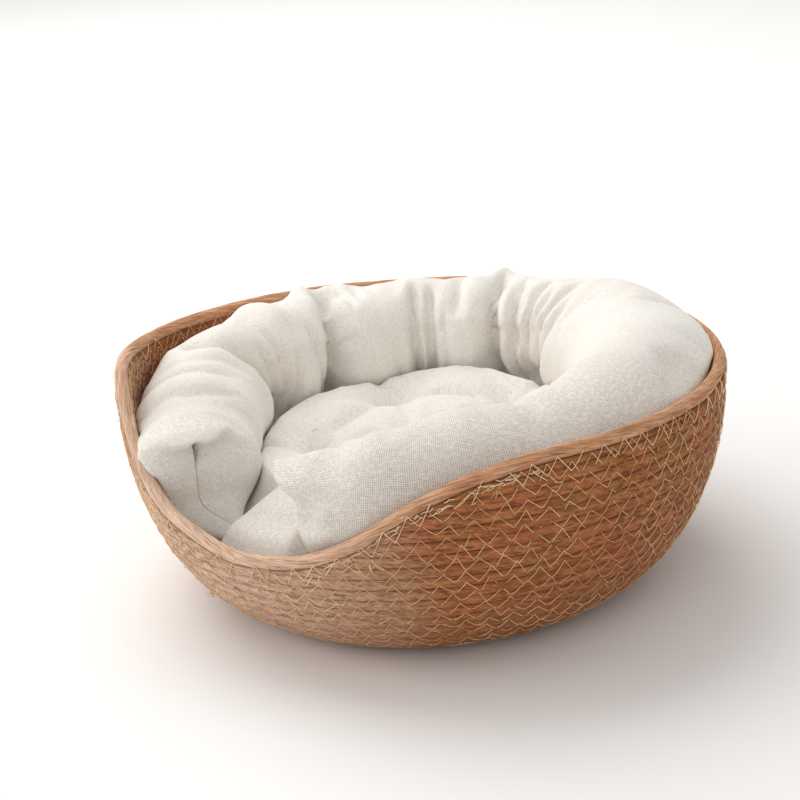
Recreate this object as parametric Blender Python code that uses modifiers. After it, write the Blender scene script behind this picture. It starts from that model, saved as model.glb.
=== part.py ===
"""Coiled-cord pet bed basket with a tufted seat cushion and a bolster roll.

Metres, +Z up. The origin is the centre of the basket's flat underside, and the
low entrance of the basket faces -Y. Heading 0 is the entrance, and headings
grow towards +X.
"""

import math

import bmesh
import bpy
import numpy as np

# ---------------------------------------------------------------- driving sizes
OBJECT_NAME = "pet_bed_basket"
GAP = 0.0003  # left between pieces that touch

# Basket cord and the wall that it is wound into
ROW_PITCH = 0.0096
CORD_RADIUS = (ROW_PITCH - GAP) / 2
RIM_CORD_RADIUS = 0.005
FLOOR_RADIUS = 0.131  # centre line of the outermost floor coil
WALL_FLARE = 0.0885  # how far the wall leans out above that coil
WALL_RISE = 0.147  # height over which it does so
FULL_WALL_ROWS = 11
TOP_ROW = 21  # the last rows are only at the shoulders
GROOVE_DEPTH = 0.5  # groove between two rows, as a share of the cord radius

# Top of the rim: heading in degrees, height in metres. The left shoulder is the taller and steeper one.
RIM_TOP = [
    (0, 0.0930),
    (12, 0.0975),
    (24, 0.1140),
    (36, 0.1430),
    (48, 0.1610),
    (62, 0.1685),
    (85, 0.1665),
    (110, 0.1625),
    (140, 0.1590),
    (180, 0.1565),
    (215, 0.1565),
    (240, 0.1605),
    (264, 0.1665),
    (288, 0.1750),
    (303, 0.1810),
    (311, 0.1825),
    (320, 0.1700),
    (330, 0.1340),
    (340, 0.1100),
    (350, 0.1005),
]

# Soft goods
LINEN = 0.0012
BOLSTER_RADIUS = 0.050
BOLSTER_RING_RADIUS = 0.160
BOLSTER_HEIGHT = 0.124
BOLSTER_FIRST_HEADING = math.radians(8)
BOLSTER_LAST_HEADING = math.radians(335)
BOLSTER_DOME = 0.018  # how far each end swells out
CLOSING_SLIT = math.radians(16)  # seam opening along the bolster's underside
SEAT_CROWN_HEIGHT = 0.112
SEAT_CROWN_FALL = 0.003
SEAT_CROWN_RADIUS = 0.095
SEAT_RADIUS = 0.1955
SEAT_SEAM_HEIGHT = 0.064
SEAM_HALF_GAP = 0.0014  # the panels' folded edges stay apart by twice this
SEAT_WALL_CLEARANCE = 0.0015
SEAT_FILLING_GAP = 0.0015
NEST_CLEARANCE = 0.0024  # covers the flats of the bolster's and the seat's faces
NEST_START = math.radians(200)
NEST_END = math.radians(285)
TACK_RADIUS = 0.003
TACK_HEIGHT = 0.002
TACK_RING_RADIUS = 0.082
TACK_RING_START = math.radians(21)
TACKS_ON_RING = 5

# Fineness
ROUND_STEPS = 36
ROLL_STEPS = 24
ROLL_SIDES = 10
CORD_STEP = 2 * math.pi / ROUND_STEPS
RIM_STEPS = 60
CORD_BEVEL_RESOLUTION = 2
NEST_POINTS = 6

# Colours (linear), roughness
CORD_COLOUR = (0.36, 0.17, 0.085)
RIM_COLOUR = (0.47, 0.25, 0.13)
LINEN_COLOUR = (0.78, 0.73, 0.65)
FILLING_COLOUR = (0.85, 0.85, 0.83)
THREAD_COLOUR = (0.72, 0.66, 0.52)
CORD_ROUGHNESS = 0.75
CLOTH_ROUGHNESS = 0.9


# ---------------------------------------------------------------- wall geometry
def wall_table():
    """Arc length, radius and height of the wall's centre line, as three arrays."""
    angles = np.linspace(0, math.pi / 2, 721)
    radii = FLOOR_RADIUS + WALL_FLARE * np.sin(angles)
    heights = CORD_RADIUS + WALL_RISE * (1 - np.cos(angles))
    lengths = np.hypot(np.diff(radii), np.diff(heights))
    return np.concatenate([[0], np.cumsum(lengths)]), radii, heights


WALL_ARCS, WALL_RADII, WALL_HEIGHTS = wall_table()


def wall_at(arc):
    """Radius and height on the wall's centre line; it runs on straight up past the curve."""
    past = max(0.0, arc - WALL_ARCS[-1])
    radius = float(np.interp(arc, WALL_ARCS, WALL_RADII))
    return radius, float(np.interp(arc, WALL_ARCS, WALL_HEIGHTS)) + past


def arc_at_height(height):
    past = max(0.0, height - WALL_HEIGHTS[-1])
    return float(np.interp(height, WALL_HEIGHTS, WALL_ARCS)) + past


def wall_frame(arc):
    """Point, outward direction and upward direction on the wall's centre line, as (radius, height) pairs."""
    step = 1e-4
    point = np.array(wall_at(arc))
    along = np.array(wall_at(arc + step)) - np.array(wall_at(max(0.0, arc - step)))
    along /= np.linalg.norm(along)
    outward = np.array([along[1], -along[0]])
    return point, outward, along


def slope_between(before, after):
    """Slope of a curve at a point from the slopes on either side of it, so that it never overshoots."""
    if before * after <= 0:
        return 0.0
    return 2 * before * after / (before + after)


def rim_top(heading):
    """Height of the rim's top: low at the entrance, highest at the shoulders."""
    angle = math.degrees(heading) % 360
    count = len(RIM_TOP)
    index = max(i for i in range(count) if RIM_TOP[i][0] <= angle)
    places = []
    for i in range(index - 1, index + 3):
        place, height = RIM_TOP[i % count]
        places.append((place + 360 * (i // count), height))
    slopes = [(b[1] - a[1]) / (b[0] - a[0]) for a, b in zip(places, places[1:], strict=False)]
    (start, low), (end, high) = places[1], places[2]
    first = slope_between(slopes[0], slopes[1]) * (end - start)
    last = slope_between(slopes[1], slopes[2]) * (end - start)
    share = (angle - start) / (end - start)
    rise = share * share * (3 - 2 * share)
    height = low + (high - low) * rise
    height += first * share * (1 - share) ** 2
    return height - last * share * share * (1 - share)


def rim_arc(heading):
    return arc_at_height(rim_top(heading) - RIM_CORD_RADIUS)


def around(radius, heading, height):
    """World point at a heading measured from the entrance."""
    return (radius * math.sin(heading), -radius * math.cos(heading), height)


def row_arc(row):
    return row * ROW_PITCH


def under_rim(row, heading):
    """Whether this row's cord fits under the rim cord at this heading."""
    step = math.radians(0.5)
    rise = rim_arc(heading + step) - rim_arc(heading - step)
    run = 2 * step * wall_at(rim_arc(heading))[0]
    across = math.cos(math.atan2(rise, run))
    room = (rim_arc(heading) - row_arc(row)) * across
    return room >= CORD_RADIUS + RIM_CORD_RADIUS + GAP


def row_spans(row):
    """The stretches of heading, from 0 to a full turn, where this row lies under the rim."""
    fine = math.radians(0.25)
    headings = [fine * i for i in range(round(2 * math.pi / fine) + 1)]
    spans = []
    start = None
    for heading in headings:
        if under_rim(row, heading):
            start = heading if start is None else start
            last = heading
        elif start is not None:
            spans.append((start, last))
            start = None
    return spans


# ---------------------------------------------------------------- making objects
def clear_scene():
    for obj in list(bpy.data.objects):
        bpy.data.objects.remove(obj, do_unlink=True)


def new_collection(name):
    collection = bpy.data.collections.new(name)
    bpy.context.scene.collection.children.link(collection)
    return collection


def material(name, colour, roughness):
    made = bpy.data.materials.new(name)
    made.use_nodes = True
    made.diffuse_color = (*colour, 1.0)
    shader = made.node_tree.nodes["Principled BSDF"]
    shader.inputs["Base Color"].default_value = (*colour, 1.0)
    shader.inputs["Roughness"].default_value = roughness
    shader.inputs["Metallic"].default_value = 0.0
    return made


def add_object(name, data, finish, collection):
    obj = bpy.data.objects.new(name, data)
    obj.data.materials.append(material(f"{name}_finish", *finish))
    collection.objects.link(obj)
    return obj


def turned(name, profile, finish, collection, thickness=None):
    """A piece turned about +Z from a profile of (radius, height) points, outer side first, downwards.

    With a thickness the profile is one open line, and the shell grows inwards from it.
    """
    mesh = bpy.data.meshes.new(name)
    shape = bmesh.new()
    corners = [shape.verts.new((radius, 0, height)) for radius, height in profile]
    for first, second in zip(corners, corners[1:]):
        shape.edges.new((first, second))
    if thickness is None and profile[0][0] > 0:
        shape.edges.new((corners[-1], corners[0]))
    shape.to_mesh(mesh)
    shape.free()
    obj = add_object(name, mesh, finish, collection)
    screw = obj.modifiers.new("turn", "SCREW")
    screw.axis = "Z"
    screw.angle = 2 * math.pi
    screw.steps = ROUND_STEPS
    screw.render_steps = ROUND_STEPS
    screw.use_merge_vertices = True
    screw.merge_threshold = 0.00001
    screw.use_smooth_shade = True
    if thickness is not None:
        solidify = obj.modifiers.new("thickness", "SOLIDIFY")
        solidify.thickness = thickness
        solidify.offset = -1
    return obj


def cord(name, points, radius, finish, collection, closed=False):
    """A round cord along these world points."""
    curve = bpy.data.curves.new(name, "CURVE")
    curve.dimensions = "3D"
    curve.bevel_depth = radius
    curve.bevel_resolution = CORD_BEVEL_RESOLUTION
    curve.use_fill_caps = not closed
    line = curve.splines.new("POLY")
    line.points.add(len(points) - 1)
    for spot, point in zip(line.points, points):
        spot.co = (*point, 1.0)
    line.use_cyclic_u = closed
    line.use_smooth = True
    return add_object(name, curve, finish, collection)


# ---------------------------------------------------------------- the basket
def floor_profile():
    """The floor spiral: ridged on top, pressed flat underneath, from its middle out and back."""
    top = 2 * CORD_RADIUS
    groove = CORD_RADIUS * (1 + GROOVE_DEPTH)
    rows = int(FLOOR_RADIUS / ROW_PITCH)
    profile = [(0.0, top)]
    for row in range(rows, -1, -1):
        radius = FLOOR_RADIUS - row * ROW_PITCH
        profile.append((radius, top))
        if row:
            profile.append((radius + ROW_PITCH / 2, groove))
    edge = FLOOR_RADIUS + CORD_RADIUS
    profile.append((edge, CORD_RADIUS))
    profile.append((edge - CORD_RADIUS / 2, 0.0))
    profile.append((0.0, 0.0))
    return profile


def wall_outside():
    """Crowns and grooves of the full rows on the outside of the wall, from the top down."""
    points = []
    for row in range(FULL_WALL_ROWS, 0, -1):
        point, outward, _ = wall_frame(row_arc(row))
        points.append(point + CORD_RADIUS * outward)
        if row > 1:
            point, outward, _ = wall_frame(row_arc(row) - ROW_PITCH / 2)
            points.append(point + GROOVE_DEPTH * CORD_RADIUS * outward)
    return points


def wall_inside():
    """Crowns of the full rows on the inside of the wall, from the bottom up."""
    points = []
    for row in range(1, FULL_WALL_ROWS + 1):
        point, outward, _ = wall_frame(row_arc(row))
        points.append(point - CORD_RADIUS * outward)
    return points


def wall_profile():
    """The full rows of the wall as one ring: outer side down, then inner side up."""
    top, _, up = wall_frame(row_arc(FULL_WALL_ROWS))
    bottom, _, along = wall_frame(row_arc(1))
    return [top + CORD_RADIUS * up, *wall_outside(), bottom - CORD_RADIUS * along, *wall_inside()]


def row_points(row, start, end):
    """Points along one row's cord between two headings, at even steps and its two ends."""
    radius, height = wall_at(row_arc(row))
    first = math.ceil(start / CORD_STEP + 0.25)
    last = math.floor(end / CORD_STEP - 0.25)
    headings = [start, *(CORD_STEP * i for i in range(first, last + 1)), end]
    return [around(radius, heading, height) for heading in headings]


def rim_points():
    points = []
    for step in range(RIM_STEPS):
        heading = 2 * math.pi * step / RIM_STEPS
        radius, height = wall_at(rim_arc(heading))
        points.append(around(radius, heading, height))
    return points


def build_basket(collection):
    finish = (CORD_COLOUR, CORD_ROUGHNESS)
    turned("base_coil", floor_profile(), finish, collection)
    turned("wall_coil", wall_profile(), finish, collection)
    number = 0
    shoulders = 0
    for row in range(FULL_WALL_ROWS + 1, TOP_ROW + 1):
        spans = row_spans(row)
        if spans[0][0] < math.pi < spans[0][1]:
            number += 1
            names = [f"raised_course_{number:02d}"]
        else:
            shoulders += 1
            sides = ["right" if start < math.pi else "left" for start, _ in spans]
            names = [f"shoulder_course_{side}_{shoulders}" for side in sides]
        for name, (start, end) in zip(names, spans, strict=True):
            cord(name, row_points(row, start, end), CORD_RADIUS, finish, collection)
    rim_finish = (RIM_COLOUR, CORD_ROUGHNESS)
    cord("rim_cord", rim_points(), RIM_CORD_RADIUS, rim_finish, collection, closed=True)


# ---------------------------------------------------------------- the seat cushion
def seat_top(inset):
    """Upper outline of the seat from its middle to its seam; it nests under the bolster."""
    crown = SEAT_CROWN_HEIGHT - inset
    profile = [(0.0, crown)]
    for share in (0.5, 1.0):
        profile.append((SEAT_CROWN_RADIUS * share, crown - SEAT_CROWN_FALL * share**2))
    reach = BOLSTER_RADIUS + NEST_CLEARANCE + inset
    for step in range(NEST_POINTS):
        turn = NEST_START + (NEST_END - NEST_START) * step / (NEST_POINTS - 1)
        radius = BOLSTER_RING_RADIUS + reach * math.cos(turn)
        profile.append((radius, BOLSTER_HEIGHT + reach * math.sin(turn)))
    return profile


def seat_bottom(inset):
    """Lower outline of the seat from near its seam to its middle; it follows the basket inside."""
    clearance = CORD_RADIUS + SEAT_WALL_CLEARANCE + inset
    profile = []
    top_arc = arc_at_height(SEAT_SEAM_HEIGHT) - 2 * clearance
    steps = 5
    for step in range(steps, -1, -1):
        point, outward, _ = wall_frame(top_arc * step / steps)
        profile.append(tuple(point - clearance * outward))
    profile.append((0.0, profile[-1][1]))
    return profile


def build_seat(collection):
    linen = (LINEN_COLOUR, CLOTH_ROUGHNESS)
    upper_edge = (SEAT_RADIUS, SEAT_SEAM_HEIGHT + SEAM_HALF_GAP)
    lower_edge = (SEAT_RADIUS, SEAT_SEAM_HEIGHT - SEAM_HALF_GAP)
    turned("seat_top_panel", [*seat_top(0.0), upper_edge], linen, collection, LINEN)
    lower = [lower_edge, *seat_bottom(0.0)]
    turned("seat_bottom_panel", lower, linen, collection, LINEN)
    inset = LINEN + SEAT_FILLING_GAP
    waist = (SEAT_RADIUS - 4 * inset, SEAT_SEAM_HEIGHT)
    filling = [*seat_top(inset), waist, *seat_bottom(inset)]
    filling_finish = (FILLING_COLOUR, CLOTH_ROUGHNESS)
    turned("seat_filling", filling, filling_finish, collection)


def tack_places():
    """Where the six tufting tacks sit: the middle, then evenly on a ring."""
    places = [(0.0, 0.0)]
    for step in range(TACKS_ON_RING):
        heading = TACK_RING_START + 2 * math.pi * step / TACKS_ON_RING
        places.append((TACK_RING_RADIUS, heading))
    return places


def build_tacks(collection):
    """Tufting tacks: short thread knots on the upper panel."""
    finish = (THREAD_COLOUR, CLOTH_ROUGHNESS)
    for number, (radius, heading) in enumerate(tack_places(), start=1):
        name = f"seat_tack_{number}"
        mesh = bpy.data.meshes.new(name)
        shape = bmesh.new()
        bmesh.ops.create_cone(
            shape,
            cap_ends=True,
            segments=10,
            radius1=TACK_RADIUS,
            radius2=TACK_RADIUS * 0.7,
            depth=TACK_HEIGHT,
        )
        shape.to_mesh(mesh)
        shape.free()
        tack = add_object(name, mesh, finish, collection)
        middle = SEAT_CROWN_HEIGHT + GAP + TACK_HEIGHT / 2
        tack.location = around(radius, heading, middle)


# ---------------------------------------------------------------- the bolster
def roll_rings(radius, dome):
    """Ring stations along the bolster: (heading, sideways shift along the roll, radius)."""
    ends = ((0.0, 1.0), (0.55, 0.83), (0.9, 0.45))
    turn = BOLSTER_LAST_HEADING - BOLSTER_FIRST_HEADING
    rings = []
    for shift, share in reversed(ends[1:]):
        rings.append((BOLSTER_FIRST_HEADING, -dome * shift, radius * share))
    for step in range(ROLL_STEPS + 1):
        heading = BOLSTER_FIRST_HEADING + turn * step / ROLL_STEPS
        rings.append((heading, 0.0, radius))
    for shift, share in ends[1:]:
        rings.append((BOLSTER_LAST_HEADING, dome * shift, radius * share))
    return rings


def roll_point(heading, shift, radius, turn):
    """Point on the roll; turn is measured round its section from the side facing away from the middle."""
    out = BOLSTER_RING_RADIUS + radius * math.cos(turn)
    x, y, z = around(out, heading, BOLSTER_HEIGHT + radius * math.sin(turn))
    return (x + shift * math.cos(heading), y + shift * math.sin(heading), z)


def roll(name, radius, dome, slit_open, finish, collection):
    """The bolster as a bent roll with swelling ends; the slit along its underside is open or filled."""
    shape = bmesh.new()
    first_turn = (CLOSING_SLIT - math.pi) / 2
    side_turn = (2 * math.pi - CLOSING_SLIT) / ROLL_SIDES
    turns = [first_turn + side_turn * side for side in range(ROLL_SIDES + 1)]
    rings = []
    for heading, shift, size in roll_rings(radius, dome):
        rings.append([shape.verts.new(roll_point(heading, shift, size, turn)) for turn in turns])
    tips = (
        shape.verts.new(roll_point(BOLSTER_FIRST_HEADING, -dome, 0.0, 0.0)),
        shape.verts.new(roll_point(BOLSTER_LAST_HEADING, dome, 0.0, 0.0)),
    )
    count = len(turns)
    for side in range(count - 1 if slit_open else count):
        other = (side + 1) % count
        for ring, following in zip(rings, rings[1:]):
            shape.faces.new((ring[side], ring[other], following[other], following[side]))
        shape.faces.new((tips[0], rings[0][other], rings[0][side]))
        shape.faces.new((tips[1], rings[-1][side], rings[-1][other]))
    bmesh.ops.recalc_face_normals(shape, faces=shape.faces[:])
    outer = max(shape.verts, key=lambda vert: vert.co.z)
    if outer.link_faces[0].normal.z < 0:
        bmesh.ops.reverse_faces(shape, faces=shape.faces[:])
    mesh = bpy.data.meshes.new(name)
    shape.to_mesh(mesh)
    shape.free()
    mesh.shade_smooth()
    return add_object(name, mesh, finish, collection)


def build_bolster(collection):
    linen = (LINEN_COLOUR, CLOTH_ROUGHNESS)
    cover = roll("bolster_cover", BOLSTER_RADIUS, BOLSTER_DOME, True, linen, collection)
    solidify = cover.modifiers.new("thickness", "SOLIDIFY")
    solidify.thickness = LINEN
    solidify.offset = -1
    inset = LINEN + 3 * GAP
    filling = (FILLING_COLOUR, CLOTH_ROUGHNESS)
    roll("bolster_filling", BOLSTER_RADIUS - inset, BOLSTER_DOME - inset, False, filling, collection)


def main():
    clear_scene()
    collection = new_collection(OBJECT_NAME)
    build_basket(collection)
    build_seat(collection)
    build_tacks(collection)
    build_bolster(collection)


main()
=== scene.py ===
"""Looks of the coiled pet bed basket: cords, zigzag sewing, linen seat and linen bolster.

Lengths are metres. Heading 0 is the low entrance (-Y) and headings grow towards +X.
A place on the basket wall is an "arc": the length along the wall's centre line, up from
the outermost floor coil. Negative arcs lie on the flat floor.
"""

import math

import bmesh
import bpy
import numpy as np
from mathutils import Matrix, Vector


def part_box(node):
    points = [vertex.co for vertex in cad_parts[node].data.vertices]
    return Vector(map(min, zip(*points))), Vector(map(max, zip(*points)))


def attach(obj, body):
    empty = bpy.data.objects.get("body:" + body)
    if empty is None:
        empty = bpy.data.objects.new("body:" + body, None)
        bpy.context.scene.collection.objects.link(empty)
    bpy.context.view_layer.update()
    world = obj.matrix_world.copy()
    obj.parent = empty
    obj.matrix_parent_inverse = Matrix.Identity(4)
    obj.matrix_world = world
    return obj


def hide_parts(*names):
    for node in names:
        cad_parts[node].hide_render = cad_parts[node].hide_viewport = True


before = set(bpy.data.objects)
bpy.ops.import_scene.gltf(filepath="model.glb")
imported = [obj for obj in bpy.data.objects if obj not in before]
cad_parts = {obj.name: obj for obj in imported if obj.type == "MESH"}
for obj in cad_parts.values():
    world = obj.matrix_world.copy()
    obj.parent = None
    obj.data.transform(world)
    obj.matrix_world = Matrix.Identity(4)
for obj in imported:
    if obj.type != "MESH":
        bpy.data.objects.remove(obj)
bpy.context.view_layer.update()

TURN = 2 * math.pi

# ---------------------------------------------------------------- sizes
BASE_LOW, BASE_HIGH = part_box("base_coil")  # the cord and the floor take their size from the frame
GAP = 0.0003
CORD_RADIUS = (BASE_HIGH.z - BASE_LOW.z) / 2
ROW_PITCH = 2 * CORD_RADIUS + GAP
FLOOR_RADIUS = BASE_HIGH.x - CORD_RADIUS
RIM_CORD_RADIUS = 0.005
UNDER_RIM = RIM_CORD_RADIUS * 0.75  # how far below the rim cord's middle the rows stop
WALL_FLARE = 0.0885
WALL_RISE = 0.147
WALL_GIRTH = 1.3  # about the length of one turn of the cord
# Top of the rim: heading in degrees, height in metres
RIM_TOP = [
    (0, 0.0930),
    (12, 0.0975),
    (24, 0.1140),
    (36, 0.1430),
    (48, 0.1610),
    (62, 0.1685),
    (85, 0.1665),
    (110, 0.1625),
    (140, 0.1590),
    (180, 0.1565),
    (215, 0.1565),
    (240, 0.1605),
    (264, 0.1665),
    (288, 0.1750),
    (303, 0.1810),
    (311, 0.1825),
    (320, 0.1700),
    (330, 0.1340),
    (340, 0.1100),
    (350, 0.1005),
]

# The cord climbs one pitch a turn; this places it so that it just clears the rim at the entrance
CLIMB_START = 0.08
FULL_TURNS = 11  # turns of the wall that are whole
TOP_TURN = 21
FLOOR_TURNS = 13
FLOOR_EYE = 0.35  # turns left out in the middle of the floor
SHORTEST_STRETCH = 0.02  # of a turn

CORD_STEP = 0.0027  # between rings
CORD_SIDES = 16
TWIST = TURN / 0.16  # one turn of the fibres in 160 mm
SQUARENESS = 0.42  # power of the ring's cosine and sine; 1 would be round
TAPER_RINGS = 4
ROW_HALF_HEIGHT = ROW_PITCH * 0.525
ROW_HALF_DEPTH = CORD_RADIUS
RIM_VISUAL_RADIUS = 0.0048
RIM_STEPS = 560
RIM_SIDES = 22
RIM_TWISTS = 6
RIM_UV_START = np.array([50.0, 0.0])  # so that the rim's fibres differ from the rows'

# Zigzag sewing: legs of thread between needle holes
STITCH_STEP = 0.0082  # from hole to hole along a seam
THREAD_RADIUS = 0.00029
LEG_SEGMENTS = 4
LEG_LIFT = 0.0006  # how far a leg stands off the cord
HOLE_DEPTH = 0.0009
SUNK_DEPTH = 0.0009  # of the legs that press into the cord
SUNK_SHARE = 0.22
TIP_JITTER = 0.2  # of a row
TIP_SLIDE = 0.0018
RIM_SEAM_RADIUS = 0.215
RIM_LEG_LIFT = 0.0012
RIM_STITCH_TOP = 0.0004  # below the rim cord's middle
RIM_STITCH_FOOT = 0.0128
WORN_SHARE = 0.2  # of the rim's legs are gone
# Frayed strands
STRAND_SHARE = np.linspace(0, 1, 5)
FRAYED_HEIGHT = 0.027
FRAYED_HEADING = math.radians(-25)

SMALL = 1e-4  # step for slopes


# ---------------------------------------------------------------- noise
def lattice(i, j, seed):
    wave = np.sin(i * 12.9898 + j * 78.233 + seed * 37.719) * 43758.5453
    return wave - np.floor(wave)


def noise(x, y, seed, wrap=None):
    """Smooth value noise from -1 to 1; y repeats after wrap cells."""
    x, y = np.broadcast_arrays(np.asarray(x, float), np.asarray(y, float))
    i, j = np.floor(x), np.floor(y)
    u, v = x - i, y - j
    u, v = u * u * (3 - 2 * u), v * v * (3 - 2 * v)
    j0, j1 = (j, j + 1) if wrap is None else (np.mod(j, wrap), np.mod(j + 1, wrap))
    low = lattice(i, j0, seed) * (1 - u) + lattice(i + 1, j0, seed) * u
    high = lattice(i, j1, seed) * (1 - u) + lattice(i + 1, j1, seed) * u
    return 2 * (low * (1 - v) + high * v) - 1


def running_sum(steps):
    return np.concatenate([[0], np.cumsum(steps)])


def smooth_step(share):
    share = np.clip(share, 0, 1)
    return share * share * (3 - 2 * share)


# ---------------------------------------------------------------- wall geometry
WALL_ANGLES = np.linspace(0, math.pi / 2, 721)
WALL_RADII = FLOOR_RADIUS + WALL_FLARE * np.sin(WALL_ANGLES)
WALL_HEIGHTS = CORD_RADIUS + WALL_RISE * (1 - np.cos(WALL_ANGLES))
WALL_ARCS = running_sum(np.hypot(np.diff(WALL_RADII), np.diff(WALL_HEIGHTS)))


def wall_at(arc):
    """Radius and height of the wall's centre line; flat before arc 0, straight up past the curve."""
    arc = np.asarray(arc, float)
    before = np.minimum(arc, 0)
    past = np.maximum(arc - WALL_ARCS[-1], 0)
    radius = np.interp(arc, WALL_ARCS, WALL_RADII) + before
    return radius, np.interp(arc, WALL_ARCS, WALL_HEIGHTS) + past


def arc_at_height(height):
    height = np.asarray(height, float)
    past = np.maximum(height - WALL_HEIGHTS[-1], 0)
    return np.interp(height, WALL_HEIGHTS, WALL_ARCS) + past


def rim_curve():
    """The rim's top as a periodic curve through RIM_TOP that never overshoots, at every half degree."""
    places = np.array([place for place, _ in RIM_TOP], float)
    heights = np.array([height for _, height in RIM_TOP])
    places = np.concatenate([places - 360, places, places + 360])
    heights = np.tile(heights, 3)
    slopes = np.diff(heights) / np.diff(places)
    before, after = slopes[:-1], slopes[1:]
    tangents = np.zeros(len(places))
    same = before * after > 0
    tangents[1:-1][same] = 2 * before[same] * after[same] / (before[same] + after[same])
    fine = np.linspace(0, 360, 721)
    index = np.searchsorted(places, fine, side="right") - 1
    span = places[index + 1] - places[index]
    share = (fine - places[index]) / span
    height = heights[index] + (heights[index + 1] - heights[index]) * smooth_step(share)
    height = height + tangents[index] * span * share * (1 - share) ** 2
    height = height - tangents[index + 1] * span * share * share * (1 - share)
    return np.radians(fine), height


RIM_HEADINGS, RIM_TOPS = rim_curve()


def rim_top(heading):
    return np.interp(np.mod(heading, TURN), RIM_HEADINGS, RIM_TOPS)


def rim_arc(heading):
    return arc_at_height(rim_top(heading) - RIM_CORD_RADIUS)


def around(radius, heading, height):
    """World points from arrays of radius, heading and height."""
    return np.stack(np.broadcast_arrays(radius * np.sin(heading), -radius * np.cos(heading), height), -1)


def wall_frame(arc, heading):
    """World points on the wall's centre line with their outward and upward directions."""
    radius, height = wall_at(arc)
    radius_up, height_up = wall_at(arc + SMALL)
    radius_down, height_down = wall_at(arc - SMALL)
    run, rise = radius_up - radius_down, height_up - height_down
    length = np.hypot(run, rise)
    run, rise = run / length, rise / length
    point = around(radius, heading, height)
    outward = around(rise, heading, -run)
    upward = around(run, heading, rise)
    return point, outward, upward


# ---------------------------------------------------------------- meshes
def mesh_object(name, points, faces, uvs=None):
    """An object from arrays: points (n, 3), quad faces (m, 4), and a UV for each face corner (m * 4, 2)."""
    mesh = bpy.data.meshes.new(name)
    points = np.ascontiguousarray(points, np.float32)
    faces = np.ascontiguousarray(faces, np.int32)
    mesh.vertices.add(len(points))
    mesh.vertices.foreach_set("co", points.ravel())
    mesh.loops.add(faces.size)
    mesh.loops.foreach_set("vertex_index", faces.ravel())
    mesh.polygons.add(len(faces))
    mesh.polygons.foreach_set("loop_start", np.arange(0, faces.size, faces.shape[1], dtype=np.int32))
    mesh.update(calc_edges=True)
    if uvs is not None:
        layer = mesh.uv_layers.new(name="fibre")
        layer.data.foreach_set("uv", np.ascontiguousarray(uvs, np.float32).ravel())
    mesh.polygons.foreach_set("use_smooth", np.full(len(faces), True))
    mesh.validate()
    obj = bpy.data.objects.new(name, mesh)
    bpy.context.scene.collection.objects.link(obj)
    return obj


def tube_faces(rings, sides, closed=False):
    """Quads between neighbouring rings of a tube, as indices."""
    ring = np.arange(rings if closed else rings - 1)[:, None]
    side = np.arange(sides)[None, :]
    following = (ring + 1) % rings
    other = (side + 1) % sides
    here, ahead = ring * sides, following * sides
    return np.stack((here + side, here + other, ahead + other, ahead + side), -1).reshape(-1, 4)


def ring_uvs(along, near, far):
    """UVs for tube_faces: metres along for each ring, and metres round to both edges of each face."""
    corners = [(along[:-1], near[:-1]), (along[:-1], far[:-1]), (along[1:], far[1:]), (along[1:], near[1:])]
    return np.stack([np.stack(corner, -1) for corner in corners], 2).reshape(-1, 2)


def tube_uvs(lengths, sides, girth, closed=False):
    """UVs for a plain tube, from the length along it at each ring and its girth."""
    ends = np.append(lengths, 2 * lengths[-1] - lengths[-2]) if closed else lengths
    shape = (len(ends), sides)
    near = np.broadcast_to(np.arange(sides) * girth / sides, shape)
    return ring_uvs(np.broadcast_to(ends[:, None], shape), near, near + girth / sides)


def side_angles(sides):
    """Angles of the points of a tube's ring."""
    return np.arange(sides) * TURN / sides


def unit(vectors):
    return vectors / np.linalg.norm(vectors, axis=-1)[..., None]


# ---------------------------------------------------------------- cords
def cord_relief(length, turn, seed):
    """How far the cord's skin stands out of its smooth shape: husk strips, folds and fine ribs."""
    spiral = (turn + TWIST * length) / TURN
    strips = noise(length / 0.045, spiral * 5, seed, 5)
    folds = noise(length / 0.022, spiral * 9, seed + 1, 9)
    ribs = noise(length / 0.012, spiral * 16, seed + 2, 16)
    swell = noise(length / 0.06, 0.5, seed + 3)
    return 0.00030 * strips + 0.00030 * folds + 0.00018 * ribs + 0.00018 * swell


def squircle(turn):
    """Cosine and sine drawn out towards a rounded square, as sewn rows press each other flat."""
    c, s = np.cos(turn), np.sin(turn)
    return np.sign(c) * np.abs(c) ** SQUARENESS, np.sign(s) * np.abs(s) ** SQUARENESS


def cord_arc(turns):
    """Arc of the climbing cord's centre at a total turn (in turns, whole ones start at the entrance)."""
    return (turns + CLIMB_START) * ROW_PITCH


def cord_turns(start, end):
    """Total turns of a stretch's rings, evenly spaced along the cord."""
    if start >= 0:
        radius = float(wall_at(cord_arc((start + end) / 2))[0])
        steps = max(8, int((end - start) * TURN * radius / CORD_STEP))
        return np.linspace(start, end, steps + 1)
    fine = np.linspace(start, end, 4000)  # the floor spiral's radius changes along it
    radii = wall_at(cord_arc(fine))[0]
    run = running_sum((radii[1:] + radii[:-1]) / 2 * np.diff(fine) * TURN)
    return np.interp(np.linspace(0, run[-1], int(run[-1] / CORD_STEP) + 1), run, fine)


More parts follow.
